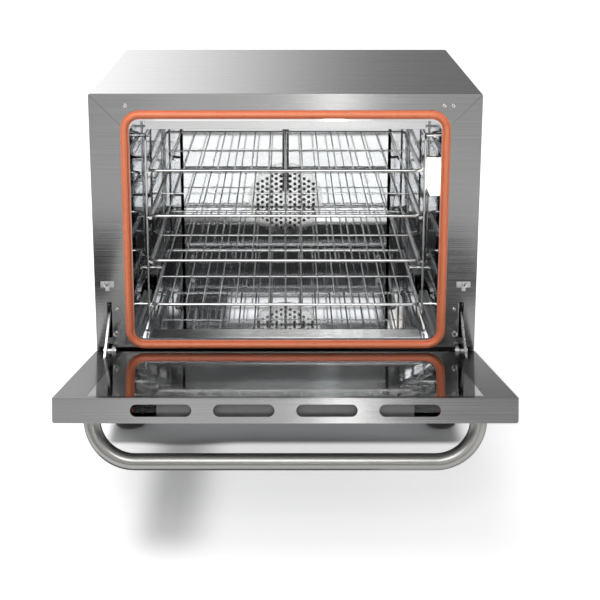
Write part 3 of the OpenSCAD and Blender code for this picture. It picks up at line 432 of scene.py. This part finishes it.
# %% [markdown]
# ## Catches over the stay slots
#
# A small stepped plate sits over each slot that the door's stay comes out of. One screw goes
# through it into the hinge receiver behind the frame.

# %% Catches
PLATE = (22 * MM, 1.6 * MM, 9.6 * MM)
TONGUE = (7 * MM, 3.2 * MM, 7 * MM)
BROAD_HEAD = 8 * MM

catches = bmesh.new()
receivers = [box for box in islands_of("frame_screws") if box[1].x - box[0].x > BROAD_HEAD]
receivers.sort(key=lambda box: box[1].z)
lower, upper = receivers[:2], receivers[-2:]
for low, high in upper:
    side = math.copysign(1.0, low.x)
    x = (low.x + high.x) / 2 - side * 1.5 * MM
    z = (low.z + high.z) / 2
    add_bar(catches, *PLATE, (x, front_y - PLATE[1] / 2, z + 0.4 * MM), 0.5 * MM)
    add_bar(catches, *TONGUE, (x, front_y - TONGUE[1] / 2, z - 6.5 * MM), 0.6 * MM)
add_piece("stay_catches", catches, zinc_sheet, "oven_body")
print(len(upper), "catches set")

# %% [markdown]
# ## The sill and the lintel of the cavity
#
# The liner's front edge is stiffened by two flat brushed strips. The sill lies across the cavity's
# floor just behind the seal and ends the mirror image of the back wall. The lintel hangs from the
# ceiling. The sill's colour is painted shade and painted reflection: it follows X, dark at its
# left end and bright from the middle on.

# %% Sill and lintel strips
# Painted shade and painted reflection: the base colour is scaled along X.
def add_fade(tree, shader, low, high, at_low, at_high):
    coords = tree.nodes.new("ShaderNodeTexCoord")
    parts = tree.nodes.new("ShaderNodeSeparateXYZ")
    tree.links.new(coords.outputs["Object"], parts.inputs["Vector"])
    colour = shader.inputs["Base Color"].links[0].from_socket
    amount = map_range(tree, parts.outputs["X"], low, high, at_low, at_high)
    scale_colour(tree, shader, colour, amount)


lintel_sheet, tree, shader = finish_of(
    "brushed sheet of the lintel", (0.55, 0.55, 0.545), metallic=1.0,
)
add_grain(tree, shader, (ALONG, ACROSS, ALONG), rough=(0.2, 0.3), lift=0.1, shade=0.12)
sill_sheet_with_painted_shade, tree, shader = finish_of(
    "brushed sheet of the sill, with painted shade", (0.85, 0.85, 0.84), metallic=1.0,
)
add_grain(tree, shader, (ALONG, ACROSS, ALONG), rough=(0.26, 0.36), lift=0.1, shade=0.05)
# The sill's painted shade and reflection: dark at the left end, bright from the middle on.
add_fade(tree, shader, low=-0.155, high=0.02, at_low=0.06, at_high=1.1)

baffle_low, baffle_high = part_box("air_baffle")
wide = baffle_high.x - baffle_low.x + 46 * MM
sill = bmesh.new()
place = (0, front_y + 21 * MM, baffle_low.z + 0.1 * MM)
add_bar(sill, wide, 38 * MM, 0.8 * MM, place, 0.3 * MM)
add_piece("cavity_sill", sill, sill_sheet_with_painted_shade, "oven_body")

lintel = bmesh.new()
place = (0, front_y + 11 * MM, baffle_high.z - 7 * MM)
add_bar(lintel, wide, 1.2 * MM, 15 * MM, place, 0.4 * MM)
add_piece("cavity_lintel", lintel, lintel_sheet, "oven_body")
print("sill and lintel", round(wide, 3), "m wide")

# %% [markdown]
# ## The air strip behind the door's slots
#
# Cool air is drawn through the slots in the door's end. A bent strip of zinc-coated sheet stands
# behind them and keeps crumbs off the glass. The door is tilted at rest, so the strip is built
# level, turned with the door and then carried to its end.

# %% Air strip
door_joint = next(joint for joint in frame["joints"] if joint["name"] == "door_hinge")
hinge_at = Vector(door_joint["pos_m"])
tilt = math.radians(90.0 + door_joint["range_deg"][0])
door_long = (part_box("door_inner_frame")[1].z - hinge_at.z) / math.sin(tilt)
strip_wide = 334 * MM
strip_thick = 1.2 * MM
air_strip = bmesh.new()
leg_at = 12 * MM - door_long
add_bar(air_strip, strip_wide, strip_thick, 22 * MM, (0, leg_at, -19 * MM), 0.3 * MM)
add_bar(air_strip, strip_wide, 16 * MM, strip_thick, (0, leg_at + 8 * MM, -30 * MM), 0.3 * MM)
with_the_door = Matrix.Translation(hinge_at) @ Matrix.Rotation(-tilt, 4, "X")
bmesh.ops.transform(air_strip, matrix=with_the_door, verts=air_strip.verts)
# The strip's sheet is a darker copy of the zinc-coated sheet: painted shade.
shaded_zinc, tree, shader = finish_of(
    "shaded zinc-coated sheet", (0.19, 0.19, 0.19), metallic=1.0,
)
add_skin(tree, shader, 60.0, rough=(0.38, 0.55), lift=0.1, shade=0.12)
add_piece("door_air_strip", air_strip, shaded_zinc, "door")
print("air strip", round(strip_wide, 3), "m wide, door", round(door_long, 3), "m long")

# %% [markdown]
# ## Pointers on the knobs
#
# A white line on each knob shows where it is set. It rides on the knob's own body, so it turns
# with it.

# %% Knob pointers
for knob, body in [("thermostat_knob", "thermostat_dial"), ("timer_knob", "timer_dial")]:
    low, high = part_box(knob)
    radius = (high.x - low.x) / 2
    middle = (low + high) / 2
    pointer = bmesh.new()
    place = (middle.x, low.y - 0.05 * MM, middle.z + radius * 0.42)
    add_bar(pointer, 1.6 * MM, 0.4 * MM, radius * 0.5, place, 0.1 * MM)
    add_piece(knob + "_pointer", pointer, mark_white, body)
    print(knob, "radius", round(radius, 4))

# %% [markdown]
# ## Scales round the knobs
#
# The thermostat's scale runs to 300 degrees and the timer's to 120 minutes. Every division has a
# short stroke and every second one a number. The numbers are plain text turned into mesh.

# %% Scales and numbers
INK = 0.1 * MM
ink = bmesh.new()


def print_number(words, size, x, z):
    curve = bpy.data.curves.new("number", "FONT")
    curve.body = words
    curve.size = size
    curve.align_x = "CENTER"
    curve.align_y = "CENTER"
    curve.extrude = INK
    holder = bpy.data.objects.new("number", curve)
    bpy.context.scene.collection.objects.link(holder)
    mesh = bpy.data.meshes.new_from_object(holder)
    bpy.data.objects.remove(holder)
    upright = Matrix.Rotation(math.pi / 2, 4, "X")
    mesh.transform(Matrix.Translation((x, panel_face - INK, z)) @ upright)
    ink.from_mesh(mesh)
    bpy.data.meshes.remove(mesh)


for knob, last, steps, degrees in [
    ("thermostat_knob", 300, 10, 280),
    ("timer_knob", 120, 12, 300),
]:
    low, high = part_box(knob)
    middle = (low + high) / 2
    radius = (high.x - low.x) / 2
    for step in range(steps + 1):
        turn = math.radians(degrees) * step / steps
        out = Vector((math.sin(turn), 0, math.cos(turn)))
        numbered = step % 2 == 0
        away, length = (3.4 * MM, 3.2 * MM) if numbered else (2.8 * MM, 2.0 * MM)
        spot = middle + out * (radius + away)
        add_bar(ink, 0.7 * MM, 2 * INK, length, (spot.x, panel_face - INK, spot.z), turn=turn)
        if numbered and step:
            spot = middle + out * (radius + 8.5 * MM)
            print_number(str(round(last * step / steps)), 6.0 * MM, spot.x, spot.z)
add_piece("panel_scales", ink, mark_white, "oven_body")
print("scales printed")

# %% [markdown]
# ## A drop over the steam button
#
# A drop is the plain sign for steam or water. It is a round body drawn out to a point.

# %% Drop sign
low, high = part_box("steam_button")
middle = (low + high) / 2
DROP_RADIUS = 2.6 * MM
drop = bmesh.new()
rim = bmesh.ops.create_circle(drop, cap_ends=True, segments=28, radius=DROP_RADIUS)["verts"]
for vert in rim:
    if vert.co.y > 0:
        vert.co.x *= 1.0 - (vert.co.y / DROP_RADIUS) ** 2
        vert.co.y *= 2.1
upright = Matrix.Rotation(math.pi / 2, 3, "X")
bmesh.ops.rotate(drop, verts=drop.verts, cent=(0, 0, 0), matrix=upright)
raised = bmesh.ops.extrude_face_region(drop, geom=list(drop.faces))["geom"]
raised = [part for part in raised if isinstance(part, bmesh.types.BMVert)]
bmesh.ops.translate(drop, vec=(0, -2 * INK, 0), verts=raised)
bmesh.ops.translate(drop, vec=(middle.x, panel_face, high.z + 8 * MM), verts=drop.verts)
add_piece("steam_sign", drop, mark_white, "oven_body")
print("drop printed")

# %% [markdown]
# ## The back
#
# The rear panel is held by small pan head screws along its edge, and it carries a bare rating
# plate. A screw is half an outline, spun round its axis.

# %% Rear screws and rating plate
def add_screw(shape, radius, high, place):
    outline = [(0.0, 1.0), (0.6, 1.0), (0.88, 0.72), (1.0, 0.3), (1.0, 0.0)]
    screw = bmesh.new()
    points = [screw.verts.new((radius * out, high * up, 0.0)) for out, up in outline]
    edges = [screw.edges.new(pair) for pair in zip(points, points[1:])]
    bmesh.ops.spin(
        screw, geom=points + edges, cent=(0, 0, 0), axis=(0, 1, 0), angle=math.tau, steps=20,
        use_merge=True,
    )
    bmesh.ops.remove_doubles(screw, verts=screw.verts, dist=0.001 * MM)
    bmesh.ops.translate(screw, vec=place, verts=screw.verts)
    mesh = bpy.data.meshes.new("screw")
    screw.to_mesh(mesh)
    screw.free()
    shape.from_mesh(mesh)
    bpy.data.meshes.remove(mesh)


rear_screws = bmesh.new()
rear_crosses = bmesh.new()
inset = 7 * MM
across = [rear_low.x + inset, 0.0, rear_high.x - inset]
up = [rear_low.z + inset, (rear_low.z + rear_high.z) / 2, rear_high.z - inset]
spots = [(x, z) for x in across for z in up if (x, z) != (across[1], up[1])]
for x, z in spots:
    add_screw(rear_screws, 3.2 * MM, 1.8 * MM, (x, rear_y, z))
    place = (x, rear_y + 1.75 * MM, z)
    add_cross(rear_crosses, 3.2 * MM, 0.3 * MM, 0.7 * MM, place, 0.3)
add_piece("rear_screws", rear_screws, plain_screw, "oven_body")
# The rear crosses are painted recess shade as well.
add_piece("rear_screw_crosses", rear_crosses, painted_recess_shade, "oven_body")

plate = bmesh.new()
gland_low, gland_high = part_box("cable_gland")
place = ((gland_low.x + gland_high.x) / 2, rear_y + 0.3 * MM, gland_high.z + 75 * MM)
add_bar(plate, 90 * MM, 0.6 * MM, 50 * MM, place, 0.25 * MM)
add_piece("rating_plate", plate, plate_aluminium, "oven_body")
print(len(spots), "rear screws and a bare rating plate")

# %% [markdown]
# ## A screw beside each stay slot
#
# One more screw holds each hinge receiver, halfway between the catch and the receiver's lower
# screw. Its head points to the front, so it is built with a negative height.

# %% Screws beside the stay slots
stay_screws = bmesh.new()
stay_crosses = bmesh.new()
for low, high in lower:
    side = math.copysign(1.0, low.x)
    x = (low.x + high.x) / 2 - side * 2 * MM
    z = (low.z + high.z + upper[0][0].z + upper[0][1].z) / 4
    add_screw(stay_screws, 3.0 * MM, -1.5 * MM, (x, front_y, z))
    place = (x, front_y - 1.45 * MM, z)
    add_cross(stay_crosses, 3.0 * MM, 0.3 * MM, 0.7 * MM, place, 0.7)
add_piece("stay_screws", stay_screws, plain_screw, "oven_body")
# These crosses are painted recess shade as well.
add_piece("stay_screw_crosses", stay_crosses, painted_recess_shade, "oven_body")
print(len(lower), "screws beside the slots")

# %% [markdown]
# ## The studio floor
#
# The photo stands on white. The floor is a large pale sheet that glows a little. The camera sees
# that glow, also in mirror images and through glass, but it throws no light up onto the oven.
# Where the camera sees the floor itself, the glow is a little stronger.

# %% Floor
FLOOR_SIZE = 14.0
GLOW = 0.5
MORE_FOR_CAMERA = 0.14

floor_mesh = bpy.data.meshes.new("studio floor")
build = bmesh.new()
bmesh.ops.create_grid(build, x_segments=1, y_segments=1, size=FLOOR_SIZE)
build.to_mesh(floor_mesh)
build.free()
floor = bpy.data.objects.new("studio_floor", floor_mesh)
bpy.context.scene.collection.objects.link(floor)
floor_white, floor_tree, floor_shader = finish_of(
    "pale floor", (0.72, 0.72, 0.72), roughness=0.9, Emission_Color=(1.0, 1.0, 1.0, 1.0),
)
rays = floor_tree.nodes.new("ShaderNodeLightPath").outputs
by_camera = rays["Is Camera Ray"]
seen = calculate(
    floor_tree, "MAXIMUM", by_camera, rays["Is Glossy Ray"], rays["Is Transmission Ray"],
)
glow = calculate(
    floor_tree, "ADD",
    calculate(floor_tree, "MULTIPLY", seen, GLOW),
    calculate(floor_tree, "MULTIPLY", by_camera, MORE_FOR_CAMERA),
)
floor_mesh.materials.append(floor_white)
print("floor laid, glow", GLOW, "and", MORE_FOR_CAMERA, "more for the camera")

# %% [markdown]
# ## The shade on the floor
#
# A glowing floor hides its own shade. So the glow fades out under the body, and in one soft patch
# in front at the left, where the photo has its shade. Each edge is a smooth step along X or Y,
# and a region is the product of its edges.

# %% Shade on the floor
where = floor_tree.nodes.new("ShaderNodeTexCoord")
spot = floor_tree.nodes.new("ShaderNodeSeparateXYZ")
floor_tree.links.new(where.outputs["Object"], spot.inputs["Vector"])
x_at, y_at = spot.outputs["X"], spot.outputs["Y"]
under_body = calculate(
    floor_tree, "MULTIPLY",
    map_range(floor_tree, x_at, -0.30, -0.27, 0.0, 1.0),
    map_range(floor_tree, x_at, 0.26, 0.31, 1.0, 0.0),
    map_range(floor_tree, y_at, front_y - 0.035, front_y - 0.005, 0.0, 1.0),
    map_range(floor_tree, y_at, rear_y - 0.02, rear_y + 0.02, 1.0, 0.0),
)
patch = calculate(
    floor_tree, "MULTIPLY",
    map_range(floor_tree, x_at, -0.25, -0.17, 0.0, 1.0),
    map_range(floor_tree, x_at, -0.16, -0.06, 1.0, 0.0),
    map_range(floor_tree, y_at, front_y - 0.46, front_y - 0.3, 0.0, 0.6),
    map_range(floor_tree, y_at, front_y - 0.03, front_y, 1.0, 0.0),
)
shade = calculate(
    floor_tree, "MULTIPLY", calculate(floor_tree, "ADD", under_body, patch), by_camera,
)
kept = map_range(floor_tree, shade, 0.0, 1.0, 1.0, 0.0)
glow_left = calculate(floor_tree, "MULTIPLY", glow, kept)
floor_tree.links.new(glow_left, floor_shader.inputs["Emission Strength"])
print("glow fades out under the body")

# %% [markdown]
# ## The light of the room
#
# Steel shows the room more than itself. Behind the oven the room is bright at the left and dim
# at the right, which shades the steel top from white to grey. In front it is bright just over
# the floor, more so at the left, and bright again high up. What the camera sees of the room
# itself, also through glass, is plain white.

# %% Room
world = bpy.data.worlds.new("soft room")
bpy.context.scene.world = world
world.use_nodes = True
room = world.node_tree
background = room.nodes["Background"]
background.inputs["Color"].default_value = (1.0, 1.0, 1.0, 1.0)
direction = room.nodes.new("ShaderNodeTexCoord")
parts = room.nodes.new("ShaderNodeSeparateXYZ")
room.links.new(direction.outputs["Generated"], parts.inputs["Vector"])
sideways, backwards, upwards = (parts.outputs[axis] for axis in "XYZ")


def blend(factor, first, second):
    node = room.nodes.new("ShaderNodeMix")
    room.links.new(factor, node.inputs["Factor"])
    room.links.new(first, node.inputs["A"])
    if isinstance(second, float):
        node.inputs["B"].default_value = second
    else:
        room.links.new(second, node.inputs["B"])
    return node.outputs["Result"]


behind = calculate(
    room, "MULTIPLY",
    map_range(room, sideways, -0.22, 0.1, 2.3, 0.25),
    map_range(room, sideways, -0.6, -0.3, 0.4, 1.0),
)
low_front = calculate(
    room, "MULTIPLY",
    map_range(room, upwards, 0.02, 0.16, 0.75, 0.03),
    map_range(room, sideways, -0.16, 0.1, 1.6, 1.0),
)
in_front = calculate(room, "ADD", low_front, map_range(room, upwards, 0.32, 0.42, 0.0, 0.4))
all_round = blend(map_range(room, backwards, -0.2, 0.2, 0.0, 1.0), in_front, behind)
rays = room.nodes.new("ShaderNodeLightPath").outputs
straight = calculate(room, "MAXIMUM", rays["Is Camera Ray"], rays["Is Transmission Ray"])
room.links.new(blend(straight, all_round, 1.0), background.inputs["Strength"])
print("room ready, with", len(room.nodes), "nodes")

# %% [markdown]
# ## Lamps
#
# Two big soft lamps hang over the oven and high in front, as a photographer's softboxes do. The
# other three are weak, and steel mirrors them. A flat one under the high softbox shows in the
# cavity's floor. A narrow upright one by the camera is the bright band on the frame's top rail
# and on the door's end. A wide one beside it lifts the rest of both.

# %% Lamps
def add_lamp(name, place, target, wide, high, watts):
    data = bpy.data.lights.new(name, "AREA")
    data.shape = "RECTANGLE"
    data.size = wide
    data.size_y = high
    data.energy = watts
    lamp = bpy.data.objects.new(name, data)
    lamp.location = place
    aim = Vector(target) - Vector(place)
    lamp.rotation_euler = aim.to_track_quat("-Z", "Y").to_euler()
    lamp.visible_camera = False
    bpy.context.scene.collection.objects.link(lamp)


LAMPS = [  # name, place, target, width, height, watts
    ("softbox overhead", (-0.5, -0.4, 2.4), (0, 0, 0.2), 1.8, 1.8, 20),
    ("softbox high in front", (-0.1, front_y - 2.2, 1.69), (-0.1, front_y, 1.69), 1.1, 0.86, 19.6),
    ("softbox low edge", (0.07, front_y - 2.19, 1.11), (0.07, front_y, 1.11), 0.58, 0.09, 0.32),
    ("strip by the camera", (0.163, front_y - 2.5, 0.36), (0.163, 0, 0.36), 0.065, 0.7, 1.05),
    ("fill by the camera", (-0.08, front_y - 2.6, 0.25), (-0.08, 0, 0.25), 0.75, 0.5, 0.5),
]
for lamp in LAMPS:
    add_lamp(*lamp)
print(len(LAMPS), "lamps hung")

# %% [markdown]
# ## A grey flag
#
# Photographers lay a dark card on the floor, outside the picture, to give bright steel a dark
# line to mirror. The large card here darkens both sides of the front frame just above the door.
# The small one lies under the door and deepens the shade there. The camera doesn't see the cards
# themselves, only their mirror images.

# %% Flag on the floor
CARDS = [(2.0, 0.58, -0.55, -0.97), (0.5, 0.38, -0.12, -0.2)]  # width, depth, x, y from the front
ABOVE_FLOOR = 4 * MM

flag_mesh = bpy.data.meshes.new("grey flag")
build = bmesh.new()
for wide, deep, x, y in CARDS:
    card = bmesh.ops.create_grid(build, x_segments=1, y_segments=1, size=0.5)["verts"]
    bmesh.ops.scale(build, vec=(wide, deep, 1.0), verts=card)
    bmesh.ops.translate(build, vec=(x, front_y + y, ABOVE_FLOOR), verts=card)
build.to_mesh(flag_mesh)
build.free()
flag = bpy.data.objects.new("grey_flag", flag_mesh)
bpy.context.scene.collection.objects.link(flag)
flag_grey, _, _ = finish_of("flag cloth", (0.02, 0.02, 0.02), roughness=1.0)
flag_mesh.materials.append(flag_grey)
flag.visible_camera = False
flag.visible_diffuse = False
flag.visible_shadow = False
flag.visible_transmission = False
print(len(CARDS), "dark cards laid")

# %% [markdown]
# ## The camera
#
# The photo was taken from the front with a long lens, a little above the oven. The camera is
# pitched down a little, and a small lens shift brings the oven to the photo's place.

# %% Camera
PITCH_DOWN = 14.39

camera_data = bpy.data.cameras.new("photo camera")
camera_data.sensor_width = 36.0
camera_data.lens = 82.13
camera_data.shift_x = 0.023
camera_data.shift_y = -0.15
camera = bpy.data.objects.new("photo_camera", camera_data)
camera.location = (0.0011, front_y - 2.0549, 0.9083)
camera.rotation_euler = (math.radians(90 - PITCH_DOWN), 0, 0)
bpy.context.scene.collection.objects.link(camera)
bpy.context.scene.camera = camera
bpy.context.scene.view_settings.view_transform = "Standard"
print("camera pitched down by", PITCH_DOWN, "degrees, lens", camera_data.lens, "mm")
